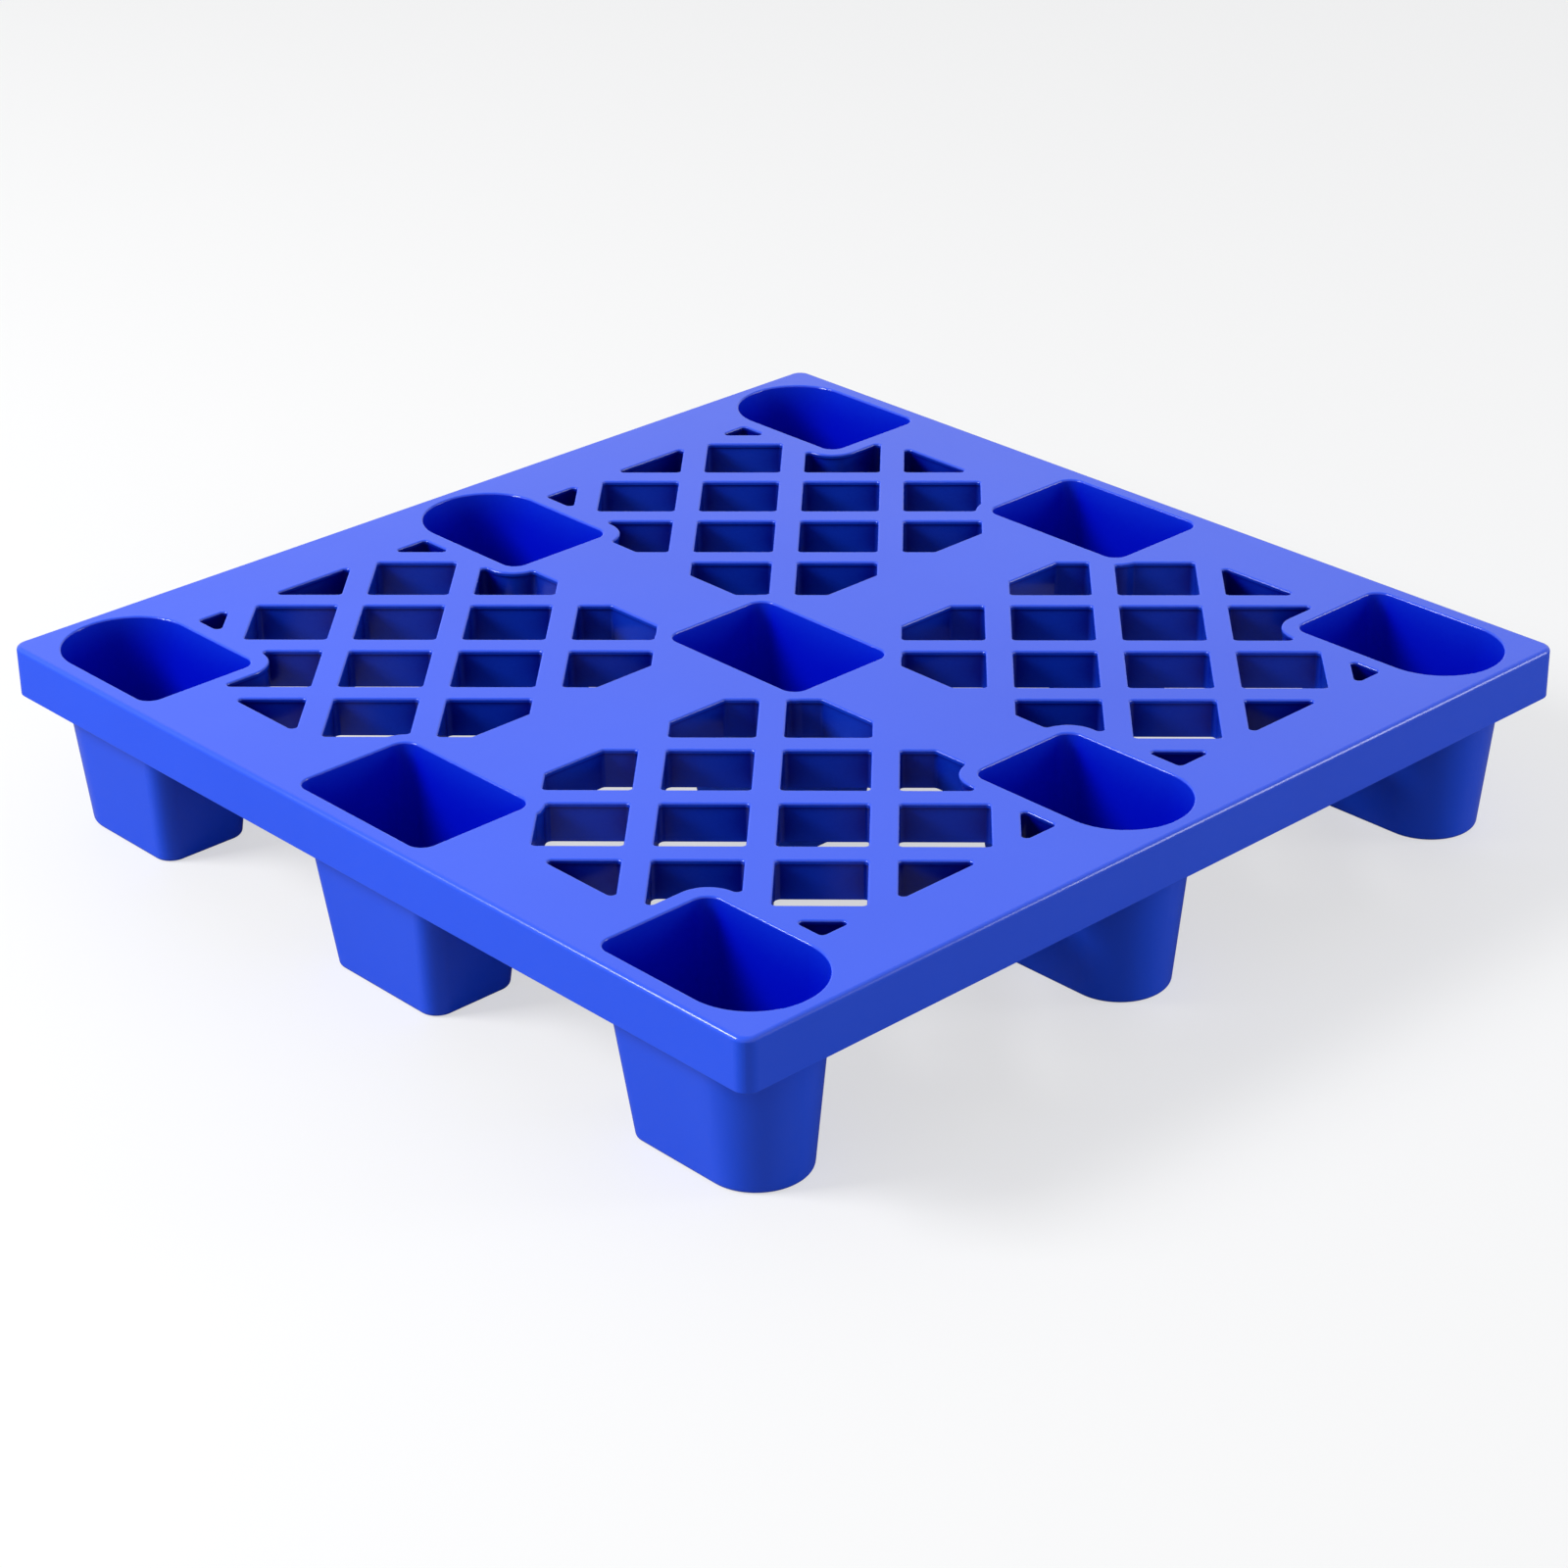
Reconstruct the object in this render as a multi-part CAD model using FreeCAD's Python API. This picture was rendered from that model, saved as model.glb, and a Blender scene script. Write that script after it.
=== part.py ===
import FreeCAD, Part
import math
import os

# Nestable nine-foot plastic pallet: one blue moulding, kept here as the regions a person would point to.
# Millimetres. +Z is up, the feet stand on Z = 0, and the origin is under the middle of the deck.
# The front of the pallet faces -Y and its right side faces +X. The load deck is the top face.

Vec = FreeCAD.Vector
UP = Vec(0, 0, 1)

# ---- overall sizes -------------------------------------------------------------------------------
deck_length = 800.0          # along X, outside of the skirt
deck_width = 800.0           # along Y, outside of the skirt
pallet_height = 140.0        # floor to load deck

# ---- deck and skirt ------------------------------------------------------------------------------
plate = 3.2                  # thickness of every flat deck face
skirt_depth = 39.0           # height of the outer side face, measured down from the deck
skirt_wall = 3.0
skirt_lip = 7.0              # flat strip plus rounding that the skirt carries along the deck edge
deck_edge_radius = 3.5       # rounding between deck and skirt
deck_corner_radius = 11.0    # upright corners of the skirt
skirt_foot_round = 0.8       # small rounding along the lower rim of the skirt

# ---- cup feet ------------------------------------------------------------------------------------
foot_wall = 2.8
foot_floor = 3.2
foot_slope = 0.10            # sideways travel of a foot wall for each millimetre of height
cup_width = 96.5             # every cup, along Y at deck level
plain_cup_length = 138.0     # cups of the middle column, along X at deck level
round_cup_length = 143.5     # cups with one round end, along X at deck level
round_end_to_edge = 11.6     # round end of a cup to the deck edge
side_cup_to_edge = 14.0      # long side of a front or back cup to the deck edge
cup_corner_radius = 12.0
cup_rim_radius = 1.5         # rounding where a cup opens into the deck
foot_sole_radius = 3.5       # rounding around the sole
cup_floor_radius = 2.5
cup_border = 8.0             # flat border moulded with each cup, beyond the cup wall

# ---- diagonal grid -------------------------------------------------------------------------------
cells_along_edge = 14        # half cells counted along one deck edge
bar_width = 20.0             # across one diagonal bar
bar_edge_radius = 1.6        # rounding along the top edges of the openings
opening_corner_radius = 3.2
centre_band = 80.0           # solid band through the middle of the deck, both ways
edge_band = 63.0             # solid band between the grid and the deck edge
cup_land = 13.5              # solid ring kept around a cup, beyond the cup wall
smallest_opening = 150.0     # square millimetres; smaller leftovers stay solid
rib_set_back = 1.2           # opening edge to the rib face under it
rib_wall = 2.4
rib_depth = 30.0             # from the deck face to the lower rim of the ribs

# ---- stiffening ribs under the solid bands -------------------------------------------------------
band_rib_inset = 6.0         # band edge to the centre line of the long rib next to it
cross_rib_count = 3

same_place = 0.001           # edges closer than this to a level or a line lie on it
around = 0.5                 # margin of the boxes that pick edges

deck_top = pallet_height
plate_under = deck_top - plate
rib_under = deck_top - rib_depth
skirt_under = deck_top - skirt_depth
half_length = deck_length / 2
half_width = deck_width / 2
step_x = deck_length / cells_along_edge
step_y = deck_width / cells_along_edge
grid_inner = centre_band / 2
grid_outer_x = half_length - edge_band
grid_outer_y = half_width - edge_band
grid_border = cup_land - cup_border
band_half = grid_inner - grid_border
band_start_x = grid_outer_x + grid_border
band_start_y = grid_outer_y + grid_border
lip_x = half_length - skirt_lip
lip_y = half_width - skirt_lip
lip_corner_radius = deck_corner_radius - skirt_lip

half_cup = cup_width / 2
round_cup_out = half_length - round_end_to_edge
round_cup_in = round_cup_out - round_cup_length
side_cup_out = half_width - side_cup_to_edge
side_cup_centre = side_cup_out - half_cup


def outline(corners, level):
    """Closed wire through (x, y, corner radius) corners, taken in order."""
    count = len(corners)
    starts = []
    ends = []
    middles = []
    for index in range(count):
        before = Vec(corners[index - 1][0], corners[index - 1][1], level)
        here = Vec(corners[index][0], corners[index][1], level)
        after = Vec(corners[(index + 1) % count][0], corners[(index + 1) % count][1], level)
        radius = corners[index][2]
        into = (before - here).normalize()
        out = (after - here).normalize()
        half_angle = into.getAngle(out) / 2
        if radius <= 0:
            starts.append(here)
            ends.append(here)
            middles.append(None)
            continue
        reach = radius / math.tan(half_angle)
        centre = here + (into + out).normalize() * (radius / math.sin(half_angle))
        starts.append(here + into * reach)
        ends.append(here + out * reach)
        middles.append(centre + (here - centre).normalize() * radius)
    edges = []
    for index in range(count):
        if middles[index] is not None:
            edges.append(Part.Arc(starts[index], middles[index], ends[index]).toShape())
        following = starts[(index + 1) % count]
        if ends[index].distanceToPoint(following) > 1e-6:
            edges.append(Part.makeLine(ends[index], following))
    return Part.Wire(edges)


def rectangle(x_low, x_high, y_low, y_high, radius=0.0):
    around_plan = [(x_low, y_low), (x_high, y_low), (x_high, y_high), (x_low, y_high)]
    return [(x, y, radius) for x, y in around_plan]


def prism(corners, bottom, top):
    return Part.Face(outline(corners, bottom)).extrude(UP * (top - bottom))


def block(x_low, x_high, y_low, y_high, bottom, top):
    return Part.makeBox(x_high - x_low, y_high - y_low, top - bottom, Vec(x_low, y_low, bottom))


def save(name, solid):
    solid = solid.removeSplitter()
    if solid.ShapeType != "Solid":
        solid = max(solid.Solids, key=lambda part: part.Volume)
    if not solid.isValid():
        print("not valid:", name)
    solid.exportStep(os.path.join("parts", name + ".step"))
    print(name, round(solid.Volume / 1000.0, 1), "cm3")


# ---- cups and feet -------------------------------------------------------------------------------

def cup_corners(column, row, grow, corner):
    """Plan of one cup wall at deck level, moved outwards by grow; column and row run from -1 to 1."""
    low = row * side_cup_centre - half_cup - grow
    high = row * side_cup_centre + half_cup + grow
    if column == 0:
        reach = plain_cup_length / 2 + grow
        return rectangle(-reach, reach, low, high, corner)
    near = column * (round_cup_in - grow)
    far = column * (round_cup_out + grow)
    end = half_cup + grow
    corners = [(near, low, corner), (far, low, end), (far, high, end), (near, high, corner)]
    if column < 0:
        corners.reverse()
    return corners


def cup_body(column, row, grow, corner, bottom, top):
    """Solid inside a cup wall, closing in towards the floor."""
    wires = []
    for level in (bottom, top):
        drawn_in = foot_slope * (deck_top - level)
        wires.append(outline(cup_corners(column, row, grow - drawn_in, corner), level))
    return Part.makeLoft(wires, True, True)


def border_range(column, row):
    """Rectangle of deck face moulded with one cup: x low, x high, y low, y high."""
    reach_x = plain_cup_length / 2 + cup_border
    reach_y = half_cup + cup_border
    across = [-reach_x, reach_x]
    along = [-reach_y, reach_y]
    if column != 0:
        across = sorted([column * (round_cup_in - cup_border), column * lip_x])
    if row != 0:
        along = sorted([row * (side_cup_out - cup_width - cup_border), row * lip_y])
    return across + along


def border_plate(column, row):
    """That rectangle as a plate, its corners opened up where they meet the grid."""
    x_low, x_high, y_low, y_high = border_range(column, row)
    corners = []
    for x, y, radius in rectangle(x_low, x_high, y_low, y_high):
        at_side_skirt = abs(x) > lip_x - same_place
        at_end_skirt = abs(y) > lip_y - same_place
        if at_side_skirt and at_end_skirt:
            radius = lip_corner_radius
        elif not at_side_skirt and not at_end_skirt:
            radius = cup_corner_radius + cup_border
        corners.append((x, y, radius))
    return prism(corners, plate_under, deck_top)


def long_rib_lines(place, band_start):
    """Where the long ribs of the band run: two in the middle band, one in an edge band."""
    if place == 0:
        return [band_rib_inset - band_half, band_half - band_rib_inset]
    return [place * (band_start + band_rib_inset)]


def rib_stubs(column, row):
    """Ribs from the foot wall out to the edge of its border, in line with the ribs of the bands."""
    x_low, x_high, y_low, y_high = border_range(column, row)
    middle_x = column * (round_cup_in + round_cup_out) / 2
    middle_y = row * side_cup_centre
    half_rib = rib_wall / 2
    stubs = []
    for line in long_rib_lines(row, band_start_y):
        if column < 1:
            stubs.append(block(middle_x, x_high, line - half_rib, line + half_rib, rib_under, plate_under))
        if column > -1:
            stubs.append(block(x_low, middle_x, line - half_rib, line + half_rib, rib_under, plate_under))
    for line in long_rib_lines(column, band_start_x):
        if row < 1:
            stubs.append(block(line - half_rib, line + half_rib, middle_y, y_high, rib_under, plate_under))
        if row > -1:
            stubs.append(block(line - half_rib, line + half_rib, y_low, middle_y, rib_under, plate_under))
    return stubs


def edges_at(solid, level, plan):
    """Edges lying flat at one level inside a plan box x low, x high, y low, y high."""
    found = []
    for edge in solid.Edges:
        box = edge.BoundBox
        flat = abs(box.ZMin - level) < same_place and abs(box.ZMax - level) < same_place
        inside_x = box.XMin > plan[0] and box.XMax < plan[1]
        inside_y = box.YMin > plan[2] and box.YMax < plan[3]
        if flat and inside_x and inside_y:
            found.append(edge)
    return found


def foot(column, row):
    outer_corner = cup_corner_radius + foot_wall
    body = cup_body(column, row, foot_wall, outer_corner, 0, deck_top)
    everywhere = (-deck_length, deck_length, -deck_width, deck_width)
    body = body.makeFillet(foot_sole_radius, edges_at(body, 0, everywhere))
    body = body.multiFuse([border_plate(column, row)] + rib_stubs(column, row))
    hollow = cup_body(column, row, 0, cup_corner_radius, foot_floor, deck_top)
    hollow = hollow.makeFillet(cup_floor_radius, edges_at(hollow, foot_floor, everywhere))
    body = body.cut(hollow).removeSplitter()
    mouth = hollow.BoundBox
    near_mouth = (mouth.XMin - around, mouth.XMax + around, mouth.YMin - around, mouth.YMax + around)
    return body.makeFillet(cup_rim_radius, edges_at(body, deck_top, near_mouth))


# ---- diagonal grid -------------------------------------------------------------------------------

def grown(face, distance):
    return face.makeOffset2D(distance, join=0)


def grid_openings(side_x, side_y):
    """Opening faces at deck level for one quarter of the deck."""
    reach_x = step_x - bar_width / math.sqrt(2)
    reach_y = step_y - bar_width / math.sqrt(2)
    x_low, x_high = sorted([side_x * grid_inner, side_x * grid_outer_x])
    y_low, y_high = sorted([side_y * grid_inner, side_y * grid_outer_y])
    field = Part.Face(outline(rectangle(x_low, x_high, y_low, y_high), deck_top))
    for column in (0, side_x):
        for row in (0, side_y):
            land = cup_corners(column, row, cup_land, cup_corner_radius + cup_land)
            field = field.cut(Part.Face(outline(land, deck_top)))
    openings = []
    for across in range(0, cells_along_edge // 2 + 1):
        for along in range(0, cells_along_edge // 2 + 1):
            if (across + along) % 2 == 0:
                continue
            x = side_x * across * step_x
            y = side_y * along * step_y
            tips = [(x + reach_x, y, 0), (x, y + reach_y, 0), (x - reach_x, y, 0), (x, y - reach_y, 0)]
            cell = Part.Face(outline(tips, deck_top)).common(field)
            for piece in cell.Faces:
                opening = rounded_opening(piece)
                if opening is not None:
                    openings.append(opening)
    return openings


def rounded_opening(face):
    """Opening with all of its corners rounded, or None where too little of the cell is left."""
    room = 2 * face.Area / face.Length
    if face.Area < smallest_opening or room <= opening_corner_radius:
        return None
    return grown(grown(face, -opening_corner_radius), opening_corner_radius)


def grid_panel(side_x, side_y):
    x_low, x_high = sorted([side_x * band_half, side_x * band_start_x])
    y_low, y_high = sorted([side_y * band_half, side_y * band_start_y])
    panel = prism(rectangle(x_low, x_high, y_low, y_high), plate_under, deck_top)
    for column in (0, side_x):
        for row in (0, side_y):
            panel = panel.cut(border_plate(column, row))
    openings = grid_openings(side_x, side_y)
    holes = [opening.extrude(UP * -skirt_depth) for opening in openings]
    panel = panel.cut(Part.makeCompound(holes))
    inside = (x_low + around, x_high - around, y_low + around, y_high - around)
    rims = []
    for edge in edges_at(panel, deck_top, inside):
        point = edge.valueAt((edge.FirstParameter + edge.LastParameter) / 2)
        if min(hole.distToShape(Part.Vertex(point))[0] for hole in holes) < same_place:
            rims.append(edge)
    panel = panel.makeFillet(bar_edge_radius, rims)
    drop = UP * (rib_under - plate_under)
    ribs = []
    for opening in openings:
        ring = grown(opening, rib_set_back + rib_wall).cut(grown(opening, rib_set_back))
        ring.translate(UP * -plate)
        ribs.append(ring.extrude(drop))
    print("openings", len(openings))
    return panel.multiFuse(ribs)


# ---- solid bands ---------------------------------------------------------------------------------

def ladder(x_low, x_high, y_low, y_high, long_lines, runs_along_x, cross_from, cross_to):
    """Deck plate with long ribs and evenly spaced cross ribs below it."""
    half_rib = rib_wall / 2
    pieces = [block(x_low, x_high, y_low, y_high, plate_under, deck_top)]
    for line in long_lines:
        low = line - half_rib
        high = line + half_rib
        if runs_along_x:
            pieces.append(block(x_low, x_high, low, high, rib_under, plate_under))
        else:
            pieces.append(block(low, high, y_low, y_high, rib_under, plate_under))
    start, stop = (x_low, x_high) if runs_along_x else (y_low, y_high)
    for number in range(cross_rib_count):
        line = start + (stop - start) * (number + 0.5) / cross_rib_count
        low = line - half_rib
        high = line + half_rib
        if runs_along_x:
            pieces.append(block(low, high, cross_from, cross_to, rib_under, plate_under))
        else:
            pieces.append(block(cross_from, cross_to, low, high, rib_under, plate_under))
    return pieces[0].multiFuse(pieces[1:])


def band_along_x(side_x, row):
    """Solid band between two neighbouring cups of one row."""
    start = plain_cup_length / 2 + cup_border
    stop = round_cup_in - cup_border
    x_low, x_high = sorted([side_x * start, side_x * stop])
    lines = long_rib_lines(row, band_start_y)
    if row == 0:
        return ladder(x_low, x_high, -band_half, band_half, lines, True, lines[0], lines[1])
    y_low, y_high = sorted([row * band_start_y, row * lip_y])
    cross = sorted([lines[0], row * (half_width - skirt_wall)])
    return ladder(x_low, x_high, y_low, y_high, lines, True, cross[0], cross[1])


def band_along_y(side_y, column):
    """Solid band between two neighbouring cups of one column."""
    start = half_cup + cup_border
    stop = side_cup_out - cup_width - cup_border
    y_low, y_high = sorted([side_y * start, side_y * stop])
    lines = long_rib_lines(column, band_start_x)
    if column == 0:
        return ladder(-band_half, band_half, y_low, y_high, lines, False, lines[0], lines[1])
    x_low, x_high = sorted([column * band_start_x, column * lip_x])
    cross = sorted([lines[0], column * (half_length - skirt_wall)])
    return ladder(x_low, x_high, y_low, y_high, lines, False, cross[0], cross[1])


# ---- skirt ---------------------------------------------------------------------------------------

def whole_skirt():
    limits = rectangle(-half_length, half_length, -half_width, half_width, deck_corner_radius)
    body = prism(limits, skirt_under, deck_top)
    everywhere = (-deck_length, deck_length, -deck_width, deck_width)
    body = body.makeFillet(deck_edge_radius, edges_at(body, deck_top, everywhere))
    body = body.makeFillet(skirt_foot_round, edges_at(body, skirt_under, everywhere))
    lip = prism(rectangle(-lip_x, lip_x, -lip_y, lip_y, lip_corner_radius), skirt_under, deck_top)
    inner_x = half_length - skirt_wall
    inner_y = half_width - skirt_wall
    inner_corner = deck_corner_radius - skirt_wall
    room = prism(rectangle(-inner_x, inner_x, -inner_y, inner_y, inner_corner), skirt_under, plate_under)
    return body.cut(lip).cut(room)


def skirt_side(skirt, from_corner, to_corner):
    """One side of the skirt, mitred through the deck corners."""
    sector = [(0, 0, 0), (from_corner[0], from_corner[1], 0), (to_corner[0], to_corner[1], 0)]
    return skirt.common(prism(sector, 0, deck_top + skirt_depth))


def main():
    os.makedirs("parts", exist_ok=True)
    row_names = {-1: "front", 0: "middle", 1: "back"}
    column_names = {-1: "left", 0: "middle", 1: "right"}
    for row in (-1, 0, 1):
        for column in (-1, 0, 1):
            name = "foot_" + row_names[row] + "_" + column_names[column]
            if row == 0 and column == 0:
                name = "foot_centre"
            save(name, foot(column, row))
    for side_x in (-1, 1):
        save("centre_band_" + column_names[side_x], band_along_x(side_x, 0))
        for row in (-1, 1):
            save("edge_band_" + row_names[row] + "_" + column_names[side_x], band_along_x(side_x, row))
    for side_y in (-1, 1):
        save("centre_band_" + row_names[side_y], band_along_y(side_y, 0))
        for column in (-1, 1):
            save("edge_band_" + column_names[column] + "_" + row_names[side_y], band_along_y(side_y, column))
    for side_x in (-1, 1):
        for side_y in (-1, 1):
            name = "grid_panel_" + row_names[side_y] + "_" + column_names[side_x]
            save(name, grid_panel(side_x, side_y))
    skirt = whole_skirt()
    far_x = deck_length
    far_y = deck_width
    save("skirt_front", skirt_side(skirt, (-far_x, -far_y), (far_x, -far_y)))
    save("skirt_right", skirt_side(skirt, (far_x, -far_y), (far_x, far_y)))
    save("skirt_back", skirt_side(skirt, (far_x, far_y), (-far_x, far_y)))
    save("skirt_left", skirt_side(skirt, (-far_x, far_y), (-far_x, -far_y)))


main()
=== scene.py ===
import math

import bpy
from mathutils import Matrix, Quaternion, Vector

# A blue nestable plastic pallet on a pale studio floor. Metres, Z up, the feet stand on Z = 0.

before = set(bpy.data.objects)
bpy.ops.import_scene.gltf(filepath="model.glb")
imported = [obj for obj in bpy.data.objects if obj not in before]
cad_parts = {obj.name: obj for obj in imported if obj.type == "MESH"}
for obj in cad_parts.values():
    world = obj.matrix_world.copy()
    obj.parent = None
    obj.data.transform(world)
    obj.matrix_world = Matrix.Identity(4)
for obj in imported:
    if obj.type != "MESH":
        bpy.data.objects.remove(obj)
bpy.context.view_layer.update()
print("pallet loaded:", len(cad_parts), "regions of one moulding")


# small helpers for node trees

def addNode(tree, kind, **settings):
    node = tree.nodes.new(kind)
    for name, value in settings.items():
        if name in node.inputs:
            node.inputs[name].default_value = value
        else:
            setattr(node, name, value)
    return node


def addRange(tree, source, low, high, newLow, newHigh):
    # stretches the part of source between low and high over newLow to newHigh
    node = tree.nodes.new("ShaderNodeMapRange")
    tree.links.new(source, node.inputs["Value"])
    node.inputs["From Min"].default_value = low
    node.inputs["From Max"].default_value = high
    node.inputs["To Min"].default_value = newLow
    node.inputs["To Max"].default_value = newHigh
    return node.outputs["Result"]


def addBlend(tree, factor, first, second):
    # first and second are each a colour or a socket
    node = tree.nodes.new("ShaderNodeMix")
    node.data_type = "RGBA"
    tree.links.new(factor, node.inputs["Factor"])
    for colour, socket in ((first, node.inputs[6]), (second, node.inputs[7])):
        if isinstance(colour, tuple):
            socket.default_value = colour
        else:
            tree.links.new(colour, socket)
    return node.outputs[2]


def addShaderMix(tree, factor, first, second):
    node = addNode(tree, "ShaderNodeMixShader")
    tree.links.new(factor, node.inputs["Fac"])
    tree.links.new(first, node.inputs[1])
    tree.links.new(second, node.inputs[2])
    return node.outputs["Shader"]


def newMaterial(name):
    material = bpy.data.materials.new(name)
    material.use_nodes = True
    material.node_tree.nodes.clear()
    return material, material.node_tree


# the blue moulded plastic

bluePlastic = {
    "baseBlue": (0.008, 0.076, 0.820, 1.0),
    "flowBlue": (0.012, 0.088, 0.880, 1.0),     # faint lighter clouds where the melt flowed
    "flowScale": 3.0,                           # clouds per metre
    "cupPaintedShade": (0.000, 0.004, 0.530, 1.0),      # painted shade: darker blue deep inside the cups and under the bands
    "ribPaintedShade": (0.000, 0.001, 0.220, 1.0),      # painted shade: near-black blue between the ribs of the grid
    "paintedShadeReach": 0.18,                        # how far a facing wall still deepens the painted shade
    "paintedShadeStart": 0.94,                        # openness at which the painted shade begins
    "paintedShadeFull": 0.42,                         # openness at which the painted shade is complete
    "paintedShadeSamples": 12,                        # rays that feel for facing walls
    "roughness": 0.19,
    "roughnessSpread": 0.05,
    "patchScale": 9.0,                          # slow patches of gloss per metre
    "speckleScale": 420.0,
    "refraction": 1.47,
    "rippleHeight": 0.00012,                    # slow unevenness of the skin above ribs and walls
    "rippleScale": 14.0,
    "grainHeight": 0.000004,                    # fine grain of the mould
    "grainScale": 1100.0,
}


def makeBluePlastic(name, values, paintedShadeBlue):
    material, tree = newMaterial(name)
    output = addNode(tree, "ShaderNodeOutputMaterial")
    plastic = addNode(tree, "ShaderNodeBsdfPrincipled", IOR=values["refraction"])
    tree.links.new(plastic.outputs["BSDF"], output.inputs["Surface"])
    place = addNode(tree, "ShaderNodeTexCoord").outputs["Object"]

    def addNoise(scale, detail, roughness=0.5):
        noise = addNode(tree, "ShaderNodeTexNoise", Scale=scale, Detail=detail, Roughness=roughness)
        tree.links.new(place, noise.inputs["Vector"])
        return noise.outputs["Fac"]

    # colour: flow clouds, then painted shade, a deeper blue where walls face each other
    clouds = addRange(tree, addNoise(values["flowScale"], 4.0, 0.55), 0.3, 0.7, 0.0, 1.0)
    skin = addBlend(tree, clouds, values["baseBlue"], values["flowBlue"])
    # painted shade: ambient occlusion darkens the base colour in cups, under bands and between ribs
    openness = addNode(tree, "ShaderNodeAmbientOcclusion", Distance=values["paintedShadeReach"])
    openness.samples = values["paintedShadeSamples"]
    openness.only_local = True
    paintedShadeAmount = addRange(tree, openness.outputs["AO"], values["paintedShadeStart"], values["paintedShadeFull"], 0.0, 1.0)
    colour = addBlend(tree, paintedShadeAmount, skin, paintedShadeBlue)
    tree.links.new(colour, plastic.inputs["Base Color"])

    # gloss: slow patches plus a little fine speckle
    halfSpread = values["roughnessSpread"] / 2
    patches = addRange(tree, addNoise(values["patchScale"], 3.0), 0.3, 0.7,
                       values["roughness"] - halfSpread, values["roughness"] + halfSpread)
    speckle = addRange(tree, addNoise(values["speckleScale"], 2.0), 0.35, 0.65, -0.01, 0.01)
    roughness = addNode(tree, "ShaderNodeMath", operation="ADD")
    tree.links.new(patches, roughness.inputs[0])
    tree.links.new(speckle, roughness.inputs[1])
    tree.links.new(roughness.outputs["Value"], plastic.inputs["Roughness"])

    # relief: slow ripple under a fine grain
    ripple = addNode(tree, "ShaderNodeBump", Distance=values["rippleHeight"])
    grain = addNode(tree, "ShaderNodeBump", Distance=values["grainHeight"])
    tree.links.new(addNoise(values["rippleScale"], 1.0), ripple.inputs["Height"])
    tree.links.new(addNoise(values["grainScale"], 2.0), grain.inputs["Height"])
    tree.links.new(ripple.outputs["Normal"], grain.inputs["Normal"])
    tree.links.new(grain.outputs["Normal"], plastic.inputs["Normal"])
    return material


# two copies of the plastic that differ only in their painted shade, the deeper one for the grid's ribs
smoothPlastic = makeBluePlastic("bluePlastic", bluePlastic, bluePlastic["cupPaintedShade"])
gridPlastic = makeBluePlastic("bluePlasticGrid", bluePlastic, bluePlastic["ribPaintedShade"])
for name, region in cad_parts.items():
    for slot in region.material_slots:
        slot.material = gridPlastic if name.startswith("grid_panel") else smoothPlastic
print("blue plastic on every region")


# pale floor and studio surround

studio = {
    "floorTone": (0.88, 0.88, 0.88, 1.0),       # as the camera sees it
    "floorGlow": 0.60,                          # share of plain white in it, which lifts the shadow
    "floorBounce": (0.20, 0.20, 0.22, 1.0),     # what it throws back on the pallet
    "floorSize": 30.0,
    "backdropTone": (1.0, 1.0, 1.0, 1.0),
    "surroundTone": (0.95, 0.97, 1.0, 1.0),
    "surroundLevel": 0.48,
}


def makeFloor(values):
    bpy.ops.mesh.primitive_plane_add(size=values["floorSize"], location=(0, 0, 0))
    floor = bpy.context.object
    floor.name = "floor"
    material, tree = newMaterial("paleFloor")
    output = addNode(tree, "ShaderNodeOutputMaterial")
    paint = addNode(tree, "ShaderNodeBsdfPrincipled", Roughness=0.6)
    glow = addNode(tree, "ShaderNodeEmission", Strength=1.0)
    rays = addNode(tree, "ShaderNodeLightPath")
    tone = addBlend(tree, rays.outputs["Is Camera Ray"], values["floorBounce"], values["floorTone"])
    tree.links.new(tone, paint.inputs["Base Color"])
    share = addRange(tree, rays.outputs["Is Camera Ray"], 0.0, 1.0, 0.0, values["floorGlow"])
    seen = addShaderMix(tree, share, paint.outputs["BSDF"], glow.outputs["Emission"])
    tree.links.new(seen, output.inputs["Surface"])
    floor.data.materials.append(material)


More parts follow.
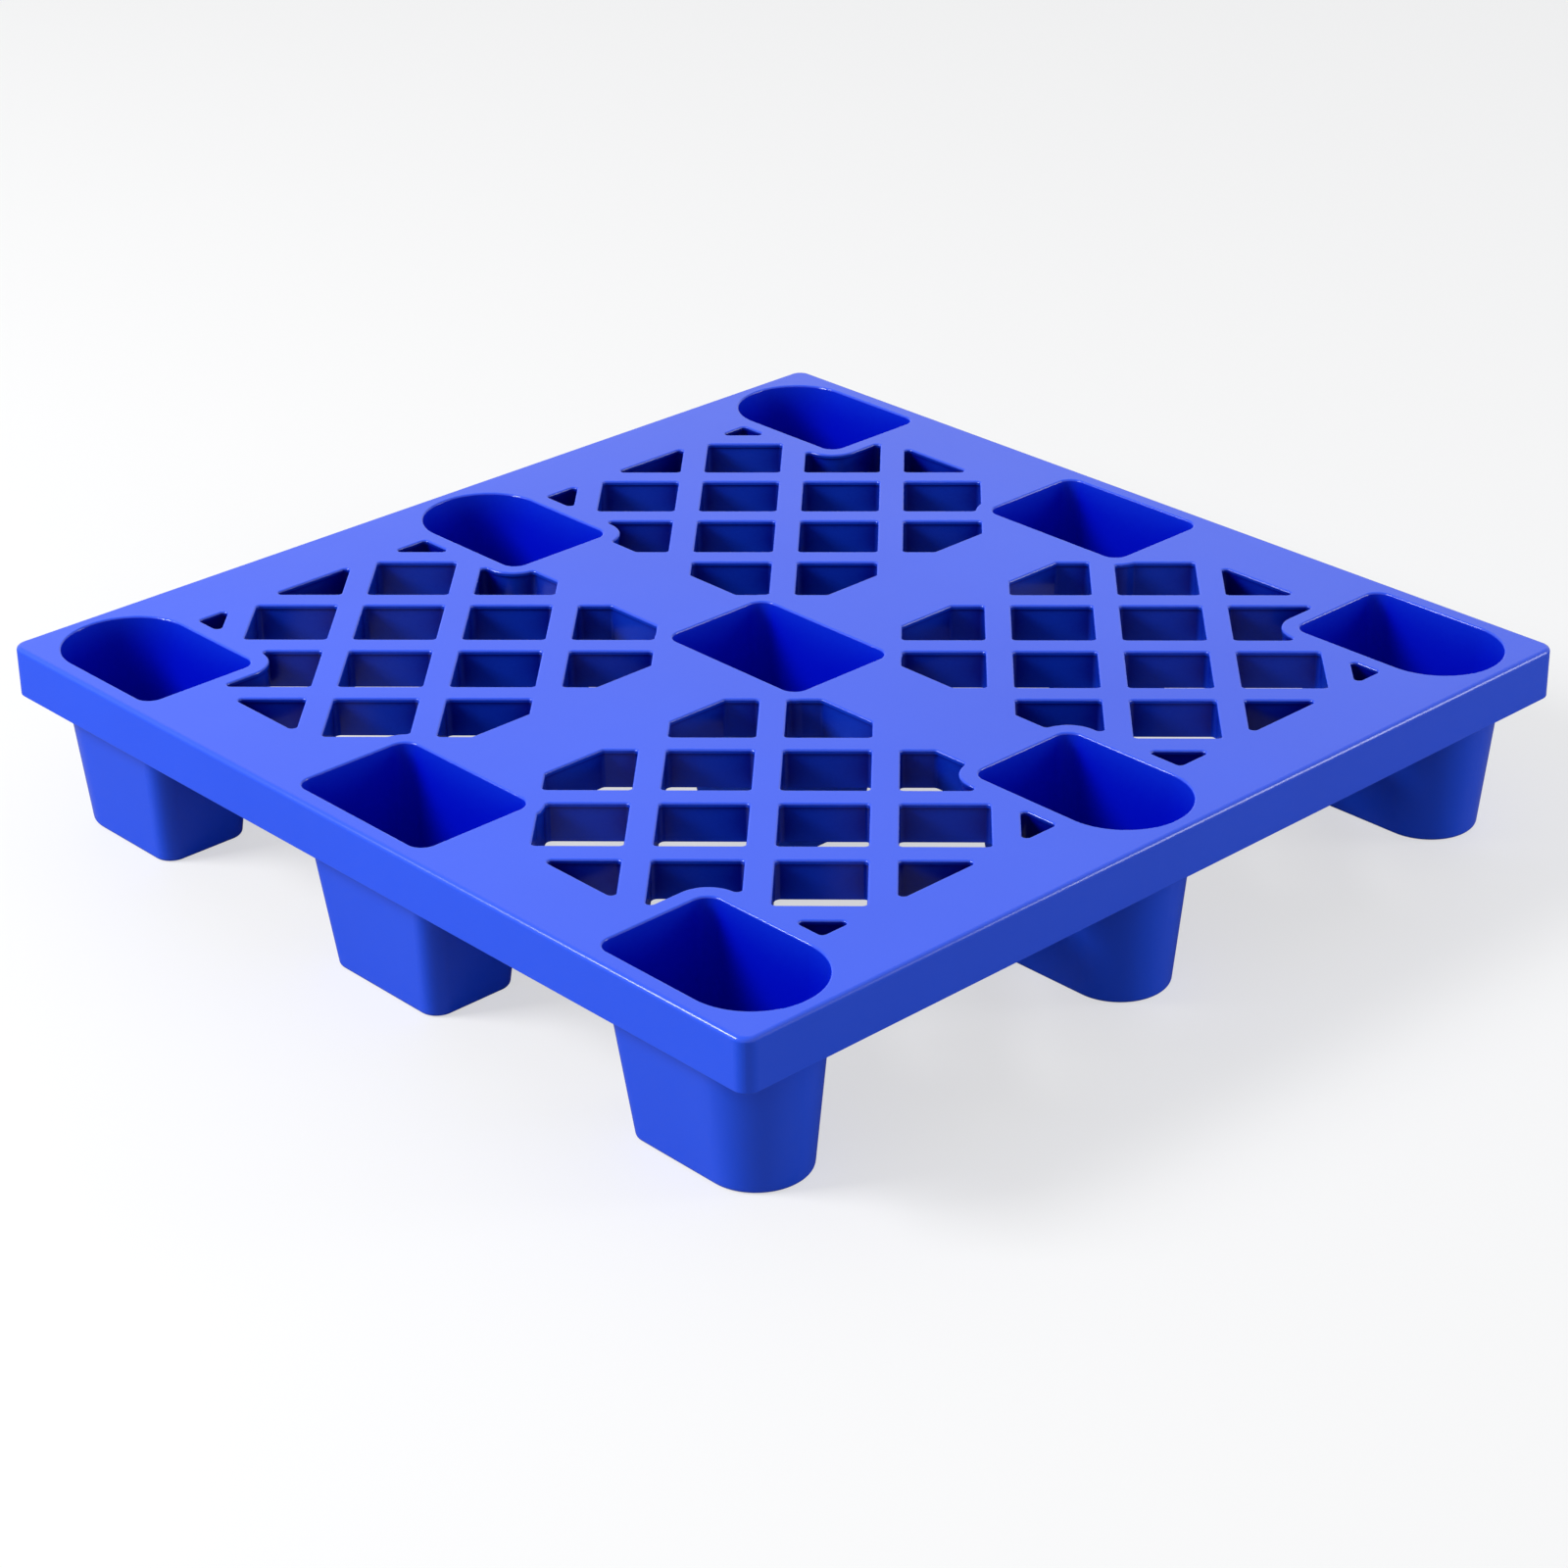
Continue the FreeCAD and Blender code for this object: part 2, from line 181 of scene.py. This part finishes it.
def makeSurround(values):
    world = bpy.data.worlds.new("studio")
    bpy.context.scene.world = world
    world.use_nodes = True
    tree = world.node_tree
    tree.nodes.clear()
    output = addNode(tree, "ShaderNodeOutputWorld")
    room = addNode(tree, "ShaderNodeBackground", Color=values["surroundTone"],
                   Strength=values["surroundLevel"])
    backdrop = addNode(tree, "ShaderNodeBackground", Color=values["backdropTone"], Strength=1.0)
    rays = addNode(tree, "ShaderNodeLightPath")
    either = addNode(tree, "ShaderNodeMath", operation="MAXIMUM")
    tree.links.new(rays.outputs["Is Camera Ray"], either.inputs[0])
    tree.links.new(rays.outputs["Is Glossy Ray"], either.inputs[1])
    seen = addShaderMix(tree, either.outputs["Value"], room.outputs["Background"],
                        backdrop.outputs["Background"])
    tree.links.new(seen, output.inputs["Surface"])


makeFloor(studio)
makeSurround(studio)

softboxes = {
    "key": {"place": (-1.7, -2.8, 2.4), "size": (1.6, 1.2), "power": 148.0},
    "rim": {"place": (2.5, 2.4, 0.9), "size": (1.0, 1.4), "power": 30.0},
}


def addSoftbox(name, values):
    lamp = bpy.data.lights.new(name, "AREA")
    lamp.shape = "RECTANGLE"
    lamp.size, lamp.size_y = values["size"]
    lamp.energy = values["power"]
    holder = bpy.data.objects.new(name, lamp)
    bpy.context.scene.collection.objects.link(holder)
    holder.location = values["place"]
    aim = Vector((0, 0, 0.1)) - holder.location
    holder.rotation_euler = aim.to_track_quat("-Z", "Y").to_euler()


for softboxName, softboxValues in softboxes.items():
    addSoftbox(softboxName, softboxValues)
print("studio lit")


# camera

camera = {
    "place": (1.8539, -1.7047, 1.3065),
    "aim": (0.1668, -0.1497, 0.1400),
    "tilt": -0.92,                              # degrees, clockwise lean of the picture
    "lens": 87.1,                               # millimetres on a 36 mm sensor
}


def addCamera(values):
    data = bpy.data.cameras.new("camera")
    data.lens = values["lens"]
    data.sensor_width = 36.0
    data.clip_end = 100.0
    holder = bpy.data.objects.new("camera", data)
    bpy.context.scene.collection.objects.link(holder)
    holder.location = values["place"]
    look = (Vector(values["aim"]) - holder.location).to_track_quat("-Z", "Y")
    holder.rotation_mode = "QUATERNION"
    holder.rotation_quaternion = look @ Quaternion((0, 0, 1), math.radians(values["tilt"]))
    bpy.context.scene.camera = holder


addCamera(camera)
bpy.context.scene.view_settings.view_transform = "Standard"
print("camera set")
